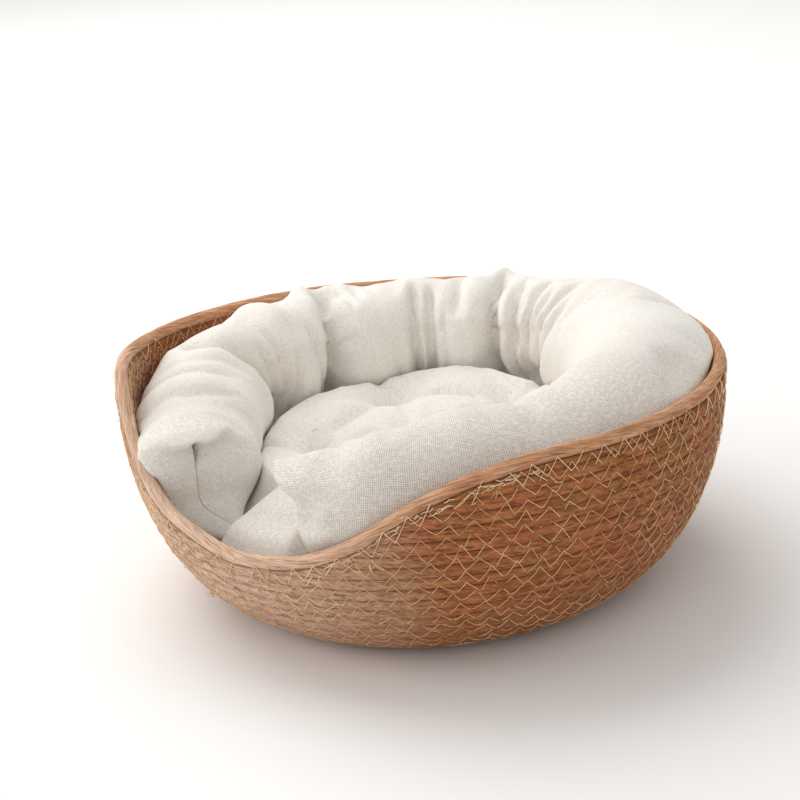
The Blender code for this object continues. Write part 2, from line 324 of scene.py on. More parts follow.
def row_mesh(name, start, end, seed, tapered=False):
    """One stretch of the climbing cord, from one total turn to another; its first end may taper.

    Its upper side is held down by the rim cord, so that its end is a wedge under the rim.
    """
    turns = cord_turns(start, end)
    heading, arc = turns * TURN, cord_arc(turns)
    point, outward, upward = wall_frame(arc, heading)
    # Lengths are counted from a fixed place, so that neighbouring stretches match
    length = running_sum(np.linalg.norm(np.diff(point, axis=0), axis=1)) + start * WALL_GIRTH
    side = side_angles(CORD_SIDES)
    c, s = squircle(side)
    relief = cord_relief(length[:, None], side[None, :], seed)
    out = (ROW_HALF_DEPTH + relief) * c[None, :]
    swell = 1 + 0.035 * noise(length / 0.07, 0.5, seed + 5)
    up = (ROW_HALF_HEIGHT * swell[:, None] + relief * 0.6) * s[None, :]
    ceiling = rim_arc(heading) - UNDER_RIM - arc
    up = np.minimum(up, np.maximum(ceiling, -ROW_HALF_HEIGHT * 0.9)[:, None])
    wobble = 0.00035 * noise(length / 0.05, 0.5, seed + 7)
    points = point[:, None] + outward[:, None] * (out + wobble[:, None])[..., None]
    points = points + upward[:, None] * up[..., None]
    if tapered:
        for ring in range(TAPER_RINGS):
            share = math.sqrt(1 - (1 - ring / TAPER_RINGS) ** 2) if ring else 0.05
            points[ring] = point[ring] + (points[ring] - point[ring]) * share
    uvs = tube_uvs(length, CORD_SIDES, TURN * CORD_RADIUS)
    return mesh_object(name, points.reshape(-1, 3), tube_faces(len(turns), CORD_SIDES), uvs)


def stretches(turn):
    """The stretches of one turn of the cord that show under the rim, as pairs of total turns."""
    fine = turn + np.linspace(0, 1, 2881)
    inside = cord_arc(fine) - ROW_HALF_HEIGHT * 0.8 < rim_arc(fine * TURN) - UNDER_RIM
    marks = [*fine[np.flatnonzero(np.diff(inside.astype(int))) + 1]]
    if inside[0]:
        marks.insert(0, fine[0])
    if inside[-1]:
        marks.append(fine[-1])
    pairs = zip(marks[::2], marks[1::2], strict=True)
    return [(first, last) for first, last in pairs if last - first > SHORTEST_STRETCH]


def rim_mesh(name):
    """The thick smooth cord along the rim, with long loosely twisted fibres."""
    heading = side_angles(RIM_STEPS)
    point, outward, _ = wall_frame(rim_arc(heading), heading)
    ahead = unit(np.roll(point, -1, 0) - np.roll(point, 1, 0))
    upward = unit(np.cross(ahead, outward))
    upward *= np.sign(upward[:, 2])[:, None]
    length = running_sum(np.linalg.norm(np.diff(point, axis=0), axis=1))
    side = side_angles(RIM_SIDES)
    share = (heading / TURN)[:, None]
    spiral = side[None, :] / TURN + RIM_TWISTS * share
    relief = 0.0
    for depth, strips, cells, seed in ((0.00022, 4, 30, 31), (0.00022, 8, 74, 32), (0.00014, 15, 150, 33)):
        relief = relief + depth * noise(spiral * strips, share * cells, seed, cells)
    outer_share = 0.5 + 0.5 * np.cos(side)[None, :]
    radius = RIM_VISUAL_RADIUS + relief * np.minimum(outer_share * 4, 1)  # smooth towards the cushions
    points = point[:, None] + outward[:, None] * (radius * np.cos(side)[None, :] * 0.96)[..., None]
    points = points + upward[:, None] * (radius * np.sin(side)[None, :] * 1.02)[..., None]
    uvs = tube_uvs(length, RIM_SIDES, TURN * RIM_VISUAL_RADIUS, closed=True) + RIM_UV_START
    return mesh_object(name, points.reshape(-1, 3), tube_faces(RIM_STEPS, RIM_SIDES, closed=True), uvs)


# ---------------------------------------------------------------- sewing thread
def strands_mesh(name, paths, radius, sides=4):
    """Many short threads as one mesh; paths is (threads, points, 3)."""
    paths = np.asarray(paths, float)
    count, rings, _ = paths.shape
    ahead = np.gradient(paths, axis=1)
    ahead /= np.maximum(np.linalg.norm(ahead, axis=2), 1e-9)[..., None]
    helper = np.where(np.abs(ahead[..., 2:3]) > 0.9, [[[1.0, 0, 0]]], [[[0, 0, 1.0]]])
    first = unit(np.cross(ahead, helper))
    second = np.cross(ahead, first)
    side = side_angles(sides)
    ring = first[:, :, None] * np.cos(side)[:, None] + second[:, :, None] * np.sin(side)[:, None]
    points = paths[:, :, None] + radius * ring
    faces = tube_faces(rings, sides)[None] + (np.arange(count) * rings * sides)[:, None, None]
    return mesh_object(name, points.reshape(-1, 3), faces.reshape(-1, 4))


def interleave(low, high):
    """Needle holes in sewing order: low, high, low, high."""
    tips = np.empty((len(low) + len(high), 2))
    tips[0::2], tips[1::2] = low, high
    return tips


def zigzag(tips, side, lift, random):
    """Thread legs between needle holes, which are (arc, heading); side is 1 outside, -1 inside."""
    first, last = tips[:-1], tips[1:]
    share = np.linspace(0, 1, LEG_SEGMENTS + 1)
    places = first[:, None] + (last - first)[:, None] * share[None, :, None]
    _, outward, _ = wall_frame(places[..., 0], places[..., 1])
    ends = []
    for tip in (first, last):
        crown, crown_out, _ = wall_frame(tip[:, 0], tip[:, 1])
        ends.append(crown + crown_out * side * (ROW_HALF_DEPTH + lift))
    path = ends[0][:, None] + (ends[1] - ends[0])[:, None] * share[None, :, None]
    dive = np.zeros(LEG_SEGMENTS + 1)
    dive[0] = dive[-1] = -HOLE_DEPTH
    bulge = random.uniform(-0.0002, 0.0004, len(path))
    bulge[1::2] -= 0.0003  # every other leg is pulled tighter
    bulge = bulge - SUNK_DEPTH * (random.uniform(0, 1, len(path)) < SUNK_SHARE)
    bulge = np.sin(share * math.pi)[None, :] * bulge[:, None]
    return path + outward * (side * (dive[None, :] + bulge))[..., None]


def seam_tips(turn, random):
    """(arc, heading) of the needle holes along the seam above one turn of the cord."""
    radius = float(wall_at((turn + 0.5) * ROW_PITCH)[0])
    count = int(TURN * radius / STITCH_STEP / 2)
    first = turn + (np.arange(count) + random.uniform(0, 1)) / count
    rows = []
    for turns, row in ((first, 0), (first + 0.5 / count, 1)):
        jitter = random.uniform(-TIP_JITTER, TIP_JITTER, count)
        arc = (turns + CLIMB_START + row + jitter) * ROW_PITCH
        heading = turns * TURN + random.uniform(-TIP_SLIDE, TIP_SLIDE, count) / max(radius, 0.01)
        rows.append(np.stack([arc, heading], -1))
    return interleave(*rows)


def stitches(turns, side, seed):
    """Zigzag legs over the seams above these turns of the cord, kept under the rim."""
    random = np.random.RandomState(seed)
    paths = []
    for turn in turns:
        tips = seam_tips(turn, random)
        legs = zigzag(tips, side, LEG_LIFT, random)
        top = np.maximum(tips[:-1, 0], tips[1:, 0])
        paths.append(legs[top < rim_arc(tips[:-1, 1]) - RIM_CORD_RADIUS * 0.4])
    return np.concatenate(paths)


def rim_stitches(side, seed):
    """Longer zigzag legs that sew the rim cord to the rows below it; some have worn away."""
    random = np.random.RandomState(seed)
    count = int(TURN * RIM_SEAM_RADIUS / STITCH_STEP / 2)
    low = (np.arange(count) + 0.5) / count * TURN
    high = low + TURN / count / 2
    low = low + random.uniform(-0.009, 0.009, count)
    high = high + random.uniform(-0.009, 0.009, count)
    low_arc = rim_arc(low) - RIM_STITCH_FOOT + random.uniform(-0.0012, 0.0012, count)
    high_arc = rim_arc(high) - RIM_STITCH_TOP + random.uniform(-0.001, 0.001, count)
    tips = interleave(np.stack([low_arc, low], -1), np.stack([high_arc, high], -1))
    legs = zigzag(tips, side, RIM_LEG_LIFT, random)
    return legs[random.uniform(0, 1, len(legs)) > WORN_SHARE]


def frayed_strand(arc, heading, sweep, reach, curl, lean, rise):
    """A strand that leaves the wall at a place and bends; lean goes sideways and rise goes up."""
    point, outward, upward = wall_frame(np.array([arc]), np.array([heading]))
    steps = STRAND_SHARE[:, None]
    path = point + outward * (ROW_HALF_DEPTH + reach * curl * np.sin(steps * sweep))
    return path + (np.cross(outward, upward) * lean + upward * rise) * reach * steps


def loose_ends(seed):
    """Strands along the foot of the rim, where the short rows stop, hairs, and one frayed cord end."""
    random = np.random.RandomState(seed)
    uniform = random.uniform
    paths = []
    for sign, count in ((1, 34), (-1, 20)):
        for _ in range(count):
            middle = sign * math.radians(uniform(20, 60))
            heading = middle + math.radians(uniform(1.0, 3.6)) * (STRAND_SHARE - 0.5)
            arc = rim_arc(heading) - RIM_CORD_RADIUS - uniform(-0.001, 0.003)
            arc = arc + uniform(-0.0015, 0.0015, len(STRAND_SHARE))
            point, outward, _ = wall_frame(arc, heading)
            proud = ROW_HALF_DEPTH + uniform(0.0, 0.0012) + 0.0005 * np.sin(STRAND_SHARE * math.pi)
            paths.append(point + outward * proud[:, None])
    for _ in range(46):
        heading = math.radians(uniform(-70, 70))
        arc = float(rim_arc(heading)) - uniform(0.006, 0.02)
        reach, lean = uniform(0.004, 0.010), uniform(-1, 1)
        rise, curl = uniform(-1, 0.6), uniform(0.1, 0.45)
        paths.append(frayed_strand(arc, heading, 2.4, reach, curl, lean, rise))
    for _ in range(14):
        arc = float(arc_at_height(FRAYED_HEIGHT)) + uniform(-0.0015, 0.0015)
        reach, curl = uniform(0.004, 0.0085), uniform(0.2, 0.7)
        lean, rise = uniform(0.1, 1), uniform(-0.9, 0.2)
        paths.append(frayed_strand(arc, FRAYED_HEADING, 2.2, reach, curl, lean, rise))
    return np.stack(paths)


# ---------------------------------------------------------------- node helpers
SHADER_INPUTS = {
    "specular": "Specular IOR Level",
    "sheen": "Sheen Weight",
    "sheen_roughness": "Sheen Roughness",
}


def new_material(name):
    made = bpy.data.materials.new(name)
    made.use_nodes = True
    return made, made.node_tree


def plug(tree, socket, value):
    """Feeds a socket from a link, or sets its value; a colour may leave out its alpha."""
    if isinstance(value, bpy.types.NodeSocket):
        tree.links.new(value, socket)
    elif socket.type == "RGBA" and len(value) == 3:
        socket.default_value = (*value, 1.0)
    else:
        socket.default_value = value


def node(tree, kind, inputs=(), **settings):
    """A shader node with its settings and its inputs, which are links or values."""
    made = tree.nodes.new("ShaderNode" + kind)
    for key, value in settings.items():
        setattr(made, key, value)
    for key, value in dict(inputs).items():
        plug(tree, made.inputs[key], value)
    return made


def math_node(tree, operation, *values):
    return node(tree, "Math", enumerate(values), operation=operation).outputs[0]


def vector_math(tree, operation, first, second):
    return node(tree, "VectorMath", {0: first, 1: second}, operation=operation)


def noise_node(tree, vector, scale, detail=2.0, roughness=0.5):
    inputs = {"Vector": vector, "Scale": scale, "Detail": detail, "Roughness": roughness}
    return node(tree, "TexNoise", inputs).outputs["Fac"]


def ramp(tree, value, stops):
    """A colour ramp; each stop is a place and a colour, or one number for a grey."""
    made = node(tree, "ValToRGB", {"Fac": value})
    elements = made.color_ramp.elements
    while len(elements) < len(stops):
        elements.new(0.5)
    for element, (place, colour) in zip(elements, stops, strict=True):
        element.position = place
        element.color = (*colour, 1.0) if isinstance(colour, tuple) else (colour, colour, colour, 1.0)
    return made.outputs["Color"]


def mix(tree, factor, first, second, blend="MIX"):
    inputs = {0: factor, 6: first, 7: second}
    return node(tree, "Mix", inputs, data_type="RGBA", blend_type=blend).outputs[2]


def object_point(tree):
    return node(tree, "TexCoord").outputs["Object"]


def towards(tree, direction, scale):
    """How far a point of the object lies towards a direction, in metres times scale."""
    along = vector_math(tree, "DOT_PRODUCT", object_point(tree), direction).outputs["Value"]
    return math_node(tree, "MULTIPLY", along, scale)


def fibre_uv(tree):
    return node(tree, "UVMap", uv_map="fibre").outputs[0]


def parted(tree, vector):
    split = node(tree, "SeparateXYZ", {0: vector})
    return split.outputs[0], split.outputs[1]


def fibre_noise(tree, along, across, shear, offset, detail, roughness):
    """Noise drawn out along the fibres, which lean with the twist by shear."""
    u, v = parted(tree, fibre_uv(tree))
    leaned = math_node(tree, "MULTIPLY_ADD", u, shear, v)
    inputs = {
        0: math_node(tree, "MULTIPLY_ADD", u, along, offset),
        1: math_node(tree, "MULTIPLY", leaned, across),
        2: offset,
    }
    return noise_node(tree, node(tree, "CombineXYZ", inputs).outputs[0], 1.0, detail, roughness)


def finish_material(tree, colour, roughness, bump=None, **others):
    """Sets the shader's inputs, and its bump from (height, strength, distance)."""
    shader = tree.nodes["Principled BSDF"]
    inputs = {"Base Color": colour, "Roughness": roughness}
    for key, value in others.items():
        inputs[SHADER_INPUTS[key]] = value
    if bump is not None:
        height, strength, distance = bump
        made = node(tree, "Bump", {"Strength": strength, "Distance": distance, "Height": height})
        inputs["Normal"] = made.outputs[0]
    for key, value in inputs.items():
        plug(tree, shader.inputs[key], value)


# ---------------------------------------------------------------- materials of the cords and threads
# Painted light: the husk is paler towards the entrance, where the lamps fall most, and low down, where
# light bounces up from the floor; partly it is a paler husk tone. This direction, and how much from which
# distance (quarter metres)
PALE_AND_LIT_SIDE = (-0.30, -0.954, -0.25)
PALE_AND_LIT_SHARE = [(0.36, 0), (0.56, 0.26), (0.80, 0.56)]
PATCH_PLACES = (0.30, 0.46, 0.58, 0.72)  # in the noise that sets the patches' colours
CORD_PALETTE = {
    "run": 1.0,  # how short the fibres are
    "fine": 1.0,  # how thin they are
    # Strength of the painted shade in the husk's crevices
    "crevices": 0.6,
    "patches": [(0.25, 0.072, 0.020), (0.32, 0.104, 0.031), (0.36, 0.128, 0.042), (0.42, 0.170, 0.064)],
    "strip": (0.47, 0.205, 0.082),
    "green": (0.30, 0.160, 0.040),
    "pink": (0.42, 0.118, 0.058),
    # Painted light: the pale colour towards the lit entrance side, partly a paler husk tone
    "pale_and_lit": (0.88, 0.71, 0.57),
}
RIM_PALETTE = {
    "run": 0.4,
    "fine": 1.5,
    # Strength of the painted shade in the husk's crevices
    "crevices": 0.5,
    "patches": [(0.44, 0.175, 0.072), (0.51, 0.215, 0.092), (0.58, 0.265, 0.122), (0.70, 0.365, 0.190)],
    # Painted highlight: on the rim the pale strips stand in partly for light along the cord, partly for
    # pale fibres
    "strip": (0.90, 0.60, 0.40),
    "green": (0.60, 0.33, 0.15),
    "pink": (0.66, 0.29, 0.17),
    # Painted light: the pale colour towards the lit entrance side, partly a paler husk tone
    "pale_and_lit": (0.92, 0.76, 0.61),
}


def cord_material(name, palette, shear, roughness):
    """Twisted husk cord: long fibres, patches of colour, painted shade in its cracks, pale frayed hairs,
    and painted light towards the entrance.
    """
    made, tree = new_material(name)
    run, fine = palette["run"], palette["fine"]
    patches = fibre_noise(tree, 30 * run, 150, shear, 0.0, 3.0, 0.6)
    strips = fibre_noise(tree, 85 * run, 480 * fine, shear, 3.1, 2.0, 0.55)
    fibres = fibre_noise(tree, 170 * run, 1050 * fine, shear, 7.7, 3.0, 0.7)
    crevices = fibre_noise(tree, 95 * run, 640 * fine, shear * 0.8, 13.0, 2.0, 0.5)
    tint = noise_node(tree, object_point(tree), 26.0, 3.0, 0.6)
    base = ramp(tree, patches, [*zip(PATCH_PLACES, palette["patches"], strict=True)])
    base = mix(tree, ramp(tree, strips, [(0.38, 0), (0.72, 0.7)]), base, palette["strip"])
    base = mix(tree, ramp(tree, tint, [(0.55, 0), (0.66, 0.4)]), base, palette["green"])
    base = mix(tree, ramp(tree, tint, [(0.34, 0.5), (0.46, 0)]), base, palette["pink"])
    # Painted light: paler towards the lit entrance side and low down, partly a paler husk tone
    pale_and_lit = ramp(tree, towards(tree, PALE_AND_LIT_SIDE, 4.0), PALE_AND_LIT_SHARE)
    base = mix(tree, pale_and_lit, base, palette["pale_and_lit"])
    light = ramp(tree, fibres, [(0.30, (0.52, 0.46, 0.41)), (0.52, 1), (0.72, (1.42, 1.42, 1.40))])
    base = mix(tree, 1.0, base, light, "MULTIPLY")
    # Painted shade: dark lines along the husk's crevices
    crevice_shade = ramp(tree, crevices, [(0.34, (0.20, 0.13, 0.09)), (0.41, 1)])
    base = mix(tree, palette["crevices"], base, crevice_shade, "MULTIPLY")
    height = math_node(tree, "MULTIPLY_ADD", strips, 0.9, fibres)
    height = math_node(tree, "MULTIPLY_ADD", crevices, 0.8, height)
    bump = (height, 0.75, 0.0011)
    finish_material(tree, base, roughness, bump, specular=0.16, sheen=0.04, sheen_roughness=0.5)
    return made


def thread_material(name, colour, dark):
    made, tree = new_material(name)
    tone = noise_node(tree, object_point(tree), 260.0)
    wide = noise_node(tree, object_point(tree), 28.0)
    base = mix(tree, ramp(tree, wide, [(0.35, 0), (0.65, 1)]), dark, colour)
    base = mix(tree, 0.5, base, ramp(tree, tone, [(0.3, 0.7), (0.7, 1.2)]), "MULTIPLY")
    finish_material(tree, base, 0.6, (tone, 0.4, 0.0003))
    return made


def dress(obj, material, body, slot, *replaced):
    obj.data.materials.clear()
    obj.data.materials.append(material)
    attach(obj, body)
    if replaced:
        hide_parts(*replaced)
    return obj


# ---------------------------------------------------------------- the basket
def build_rows(cord):
    """The climbing cord: floor, whole turns, then the short rows that stop under the rim."""
    centre = -FLOOR_RADIUS / ROW_PITCH - CLIMB_START + FLOOR_EYE
    dress(row_mesh("floor_spiral", centre, 0.0, 11, tapered=True), cord, "basket", "cord", "base_coil")
    dress(row_mesh("wall_spiral", 0.0, float(FULL_TURNS), 11), cord, "basket", "cord", "wall_coil")
    nodes = {FULL_TURNS + number: [f"raised_course_{number + 1:02d}"] for number in range(7)}
    nodes[18] = ["shoulder_course_right_1", "shoulder_course_left_1"]
    nodes[19] = ["", "shoulder_course_left_2"]
    nodes[20] = ["shoulder_course_left_3"]
    for turn in range(FULL_TURNS, TOP_TURN + 1):
        spans = stretches(turn)
        for number, (first, last) in enumerate(spans):
            name = f"short_row_{turn - FULL_TURNS + 1:02d}" + ("ab"[number] if len(spans) > 1 else "")
            row = row_mesh(name, first, last, 11 if turn == FULL_TURNS else 11 + 4 * turn)
            replaced = nodes.get(turn, [])
            if len(spans) > 1:
                replaced = replaced[number : number + 1]
            dress(row, cord, "basket", "cord", *filter(None, replaced))


def build_basket(thread):
    build_rows(cord_material("husk_cord", CORD_PALETTE, 0.07, 0.72))
    rim = cord_material("rim_husk_cord", RIM_PALETTE, 0.16, 0.66)
    dress(rim_mesh("rim"), rim, "basket", "rim", "rim_cord")
    pale = thread_material("pale_thread", (1.0, 0.82, 0.56), (0.80, 0.52, 0.28))
    wall, floor = range(TOP_TURN + 1), range(-FLOOR_TURNS, 0)
    sewing = [
        ("zigzag_outside", THREAD_RADIUS, thread, [stitches(wall, 1, 5)]),
        ("zigzag_rim", THREAD_RADIUS * 1.05, pale, [rim_stitches(1, 6), loose_ends(7)]),
        ("zigzag_inside", THREAD_RADIUS, thread, [stitches(wall, -1, 8), rim_stitches(-1, 9)]),
        ("zigzag_floor", THREAD_RADIUS, thread, [stitches(floor, 1, 12), stitches(floor, -1, 13)]),
    ]
    for name, radius, material, paths in sewing:
        dress(strands_mesh(name, np.concatenate(paths), radius), material, "basket", "thread")


# ---------------------------------------------------------------- linen roll
ROLL_RADIUS = 0.050
ROLL_RING_RADIUS = 0.160
ROLL_SIDES = 64
ROLL_STEP = 0.0040
ROLL_RIGHT_TIP = math.radians(8)
ROLL_LEFT_TIP = math.radians(337)
RIGHT_CLOSING = 0.030  # length over which an end closes to its flat sewn seam
LEFT_CLOSING = 0.019
CLOSING_RINGS = 10
SEAM_DEPTH = 0.0024
SEAM_POINTS = 60
WIDEST_SHARP_FOLD = 8  # half width (mm) up to which a fold has a sharp line
SHALLOWEST_HELD_FOLD = 4  # depth (mm) from which the cloth is held down along a fold

# Heading (degrees), then the roll centre's distance and height, half width, half height (mm)
ROLL_SHAPE = [
    (3, 168, 112, 36, 32),
    (15, 165, 115, 42, 39),
    (30, 160, 122, 50, 50),
    (47, 155, 123, 54, 53),
    (72, 158, 123, 55, 52),
    (98, 165, 132, 57, 56),
    (130, 168, 131, 56, 56),
    (160, 167, 130, 53, 56),
    (185, 161, 125, 50, 52),
    (225, 160, 124, 49, 49),
    (262, 162, 124, 49, 50),
    (290, 166, 125, 48, 50),
    (312, 170, 121, 49, 47),
    (326, 179, 114, 50, 42),
    (337, 183, 110, 51, 38),
]

# Folds: heading at the top and at the foot of the inner side (degrees), depth and half width (mm), and the
# section angles (degrees, 0 outward, 90 up, 180 inward) between which the fold runs
FOLDS = [
    (247, 252, 25, 7.0, 62, 262),
    (194, 191, 25, 7.0, 62, 262),
    (219.5, 220, 11, 3.6, 92, 240),
    (214.5, 214, 11, 3.4, 96, 240),
    (291, 281, 17, 7.0, 50, 255),
    (285, 279, 7, 3.6, 120, 250),
    (297, 284, 4, 4.0, 100, 250),
    (261, 257, 6, 4.0, 70, 245),
    (273, 276, 8, 3.6, 60, 245),
    (268, 272, 5, 3.0, 140, 245),
    (187, 182, 10, 4.5, 70, 245),
    (183, 180, 6, 3.6, 105, 240),
    (177, 177.5, 8, 3.8, 80, 240),
    (171, 175.5, 6, 3.4, 105, 240),
    (164, 173, 7, 3.8, 90, 240),
    (157, 170, 5, 4.5, 115, 235),
    (241, 240, 6, 2.8, 60, 128),
    (236, 237, 5, 2.8, 66, 120),
    (232, 234, 3, 2.8, 60, 112),
    (319, 312, 3, 5.0, 15, 150),
    (308, 303, 4, 4.6, 5, 140),
    (302, 296, 2, 3.6, 40, 150),
    (13, 13, 8, 9.5, -30, 48),
    (205, 206, 5, 3.6, 60, 150),
    (210, 209, 3, 2.6, 120, 235),
    (228, 227, 3, 2.8, 150, 240),
    (103, 98, 6, 11, 20, 75),
    (118, 112, 3, 8, 25, 80),
    (140, 143, 3, 6, 30, 100),
    (66, 60, 3, 9, 60, 150),
    (30, 33, 3, 9, 60, 160),
]
# Peaks where the outer side buckles: heading, height and half width (mm)
PEAKS = [
    (249.0, 10, 6.0),
    (195.8, 9, 5.5),
    (221.5, 3, 6),
    (238.7, 2.5, 3),
    (242, 3, 5),
    (266, 6, 9),
    (138, 3, 24),
    (294, 4, 8),
]


def eased(place, places, values):
    """Values at places, joined by smooth steps."""
    index = np.clip(np.searchsorted(places, place, side="right") - 1, 0, len(places) - 2)
    share = (place - places[index]) / (places[index + 1] - places[index])
    return values[index] + (values[index + 1] - values[index]) * smooth_step(share)


def roll_shape(heading):
    """Distance from the middle, height, half width and half height of the roll at a heading in degrees."""
    table = np.array(ROLL_SHAPE, float)
    return [eased(heading, table[:, 0], table[:, column]) / 1000 for column in (1, 2, 3, 4)]


def window(angle, first, last, soft=24.0):
    """1 between two angles, 0 outside them, with soft edges."""
    return smooth_step((angle - first) / soft) * smooth_step((last - angle) / soft)


def folds(heading, section):
    """For each fold: depth, half width, turn from its line in radians, and how much of it runs here."""
    for top, foot, depth, width, first, last in FOLDS:
        share = np.clip((section - 90) / 110, 0, 1)
        line = top + (foot - top) * share + 1.1 * noise(section / 38.0, top * 0.37, 51)
        yield depth, width, np.radians(heading - line), window(section, first, last)


def fold_reach(section):
    """Distance from the middle of the basket to the roll's skin, which is nearer at its foot."""
    return np.where(section > 150, 0.115, 0.15)


def roll_relief(heading, section):
    """How far the roll stands out of its plain shape, in metres; heading and section are in degrees."""
    total = np.zeros(np.broadcast(heading, section).shape)
    for depth, width, turn, strength in folds(heading, section):
        distance = turn * fold_reach(section) * 1000 / width
        total = total - depth * strength / (1 + distance**2)
    for place, height, width in PEAKS:
        distance = np.radians(heading - place) * 160 / width
        total = total + height * window(section, 28, 135, 30) / (1 + distance**2)
    lumps = noise(heading / 17.0, section / 60.0, 52, 6) * 1.6
    lumps = lumps + noise(heading / 7.0, section / 30.0, 53, 12) * 0.8
    return (total + lumps) / 1000


def fine_relief(heading, section):
    """Sharp lines at the bottom of the folds and small puckers of the inner side, for the finished mesh."""
    total = np.zeros(heading.shape)
    for depth, width, turn, strength in folds(heading, section):
        if width <= WIDEST_SHARP_FOLD:
            distance = np.abs(turn) * fold_reach(section) * 1000
            total = total - min(0.5 * depth, 8.0) * strength * np.exp(-distance / 1.9)
    inner = window(section, 100, 262, 60)
    ridge = 1 - np.abs(noise(heading / 3.6 + 0.02 * section, section / 48.0, 61))
    second = 1 - np.abs(noise(heading / 2.3 - 0.015 * section, section / 35.0, 62))
    spread = smooth_step((noise(heading / 16.0, section / 70.0, 63) + 0.5) / 0.9)
    total = total + inner * (0.2 + spread) * (0.9 * ridge**2 + 0.5 * second**2 - 0.6)
    outer = window(section, 15, 130, 40)
    total = total + outer * spread * (0.5 * ridge**2 - 0.15)
    return total / 1000


def crease_share(heading, section):
    """1 along the bottom of the deeper folds, where the packing holds the cloth down, and 0 elsewhere."""
    share = np.zeros(np.broadcast(heading, section).shape)
    for depth, width, turn, strength in folds(heading, section):
        if depth >= SHALLOWEST_HELD_FOLD:
            distance = np.abs(turn) * 0.125 * 1000 / width
            share = np.maximum(share, (distance < 0.42) * (strength > 0.5))
    return share


def bell(value, middle, width):
    return np.exp(-(((value - middle) / width) ** 2))


def roll_mesh(name):
    """The linen roll before it is blown up: a bent tube with folds, closed at both ends by a flat seam."""
    first = ROLL_RIGHT_TIP + RIGHT_CLOSING / ROLL_RING_RADIUS
    last = ROLL_LEFT_TIP - LEFT_CLOSING / ROLL_RING_RADIUS
    count = int((last - first) * ROLL_RING_RADIUS / ROLL_STEP)
    share = np.linspace(0, 1, CLOSING_RINGS + 1)[1:]
    angle = np.concatenate([share[::-1], np.zeros(count), share]) * math.pi / 2
    sign = np.repeat([-1.0, 0.0, 1.0], [CLOSING_RINGS, count, CLOSING_RINGS])
    closing = np.where(sign < 0, RIGHT_CLOSING, LEFT_CLOSING)
    beyond = closing * np.sin(angle * 1.13) * sign
    ends = [np.full(CLOSING_RINGS, end) for end in (first, last)]
    heading = np.concatenate([ends[0], np.linspace(first, last, count), ends[1]])
    at_ring = np.degrees(heading + beyond / ROLL_RING_RADIUS)[:, None]
    side = side_angles(ROLL_SIDES)
    section = np.degrees(side)[None, :]
    c, s = np.cos(side)[None, :], np.sin(side)[None, :]
    centre, height, half_width, half_height = roll_shape(at_ring)
    narrow = np.cos(angle)[:, None] ** 0.9
    relief = roll_relief(at_ring, section) * np.clip(narrow * 1.5, 0, 1)
    radial = centre + (half_width + relief) * narrow * c
    rise = height + (half_height + relief) * s * (0.90 + 0.10 * narrow)
    right, left = (sign < 0)[:, None], (sign > 0)[:, None]
    # The right end's upper corner is an ear; the left end has a lip over a hollow, and a long lower tab
    blunt = np.clip(1 - narrow, 0, 1)
    ear = smooth_step((s - 0.35) / 0.30)
    tab = smooth_step((-s - 0.35) / 0.60)
    lip = bell(s, 0.92, 0.12) * bell(c, -0.1, 0.6) * smooth_step(narrow * 3)
    hollow = bell(s, 0.66, 0.17) * bell(c, -0.2, 0.5)
    slide = np.where(right, -0.022 * ear + 0.009 * smooth_step(-s / 0.9), 0) * blunt**0.8
    slide = slide + np.where(left, 0.048 * tab * blunt + 0.015 * lip - 0.026 * hollow * blunt, 0)
    rise = rise + np.where(right, 0.004 * ear, -0.004 * tab) * blunt * (right | left)
    radial = radial - np.where(right, 0.006, 0.0) * bell(section, 90, 26.0) * blunt**2
    radial = radial - np.where(left, 0.036, 0.0) * tab * blunt**1.5
    turned = heading[:, None] + 0 * section
    ahead = around(np.ones(1), turned + math.pi / 2, 0 * turned)
    points = around(radial, turned, rise) + ahead * (beyond[:, None] + slide)[..., None]
    middle = points[:, [0, ROLL_SIDES // 2]]
    run = running_sum(np.linalg.norm(np.diff(middle, axis=0), axis=2).mean(1))
    faces = tube_faces(len(heading), ROLL_SIDES)
    obj = mesh_object(name, points.reshape(-1, 3), faces, roll_uvs(points, run))
    held = np.maximum(window(section, 258, 350, 20), crease_share(at_ring, section))
    held = np.maximum(held, (narrow < 0.30) * 1.0)
    held = np.maximum(held, (right & (narrow < 0.8)) * ear + (left & (narrow < 0.8)) * tab)
    layers = {"growth": 0.3 + 0.7 * window(section, 95, 265, 50), "held": held}
    layers.update(place=at_ring, cosine=c, sine=s, open=narrow)
    for layer, values in layers.items():
        attribute = obj.data.attributes.new(layer, "FLOAT", "POINT")
        values = np.broadcast_to(values, relief.shape)
        attribute.data.foreach_set("value", values.astype(np.float32).ravel())
    weld(obj)
    return obj


def roll_uvs(points, run):
    """Cloth lengths: metres along the roll, and metres round each ring from its inner or outer side."""
    rings = len(points)
    half = ROLL_SIDES // 2
    quarter = ROLL_SIDES // 4
    steps = np.linalg.norm(np.roll(points, -1, 1) - points, axis=2)
    lengths = np.concatenate([np.zeros((rings, 1)), np.cumsum(steps, 1)], 1)
    inner = lengths - lengths[:, half : half + 1] + TURN * ROLL_RADIUS / 2
    outer = lengths.copy()
    outer[:, half:] = outer[:, half:] - lengths[:, -1:] + TURN * ROLL_RADIUS
    side = np.arange(ROLL_SIDES)
    on_inner = (side >= quarter) & (side < 3 * quarter)
    near = np.where(on_inner, inner[:, :-1], outer[:, :-1])
    far = np.where(on_inner, inner[:, 1:], outer[:, 1:])
    return ring_uvs(np.broadcast_to(run[:, None], (rings, ROLL_SIDES)), near, far)


def weld(obj, distance=0.00005):
    work = bmesh.new()
    work.from_mesh(obj.data)
    bmesh.ops.remove_doubles(work, verts=work.verts, dist=distance)
    bmesh.ops.recalc_face_normals(work, faces=work.faces)
    work.to_mesh(obj.data)
    work.free()


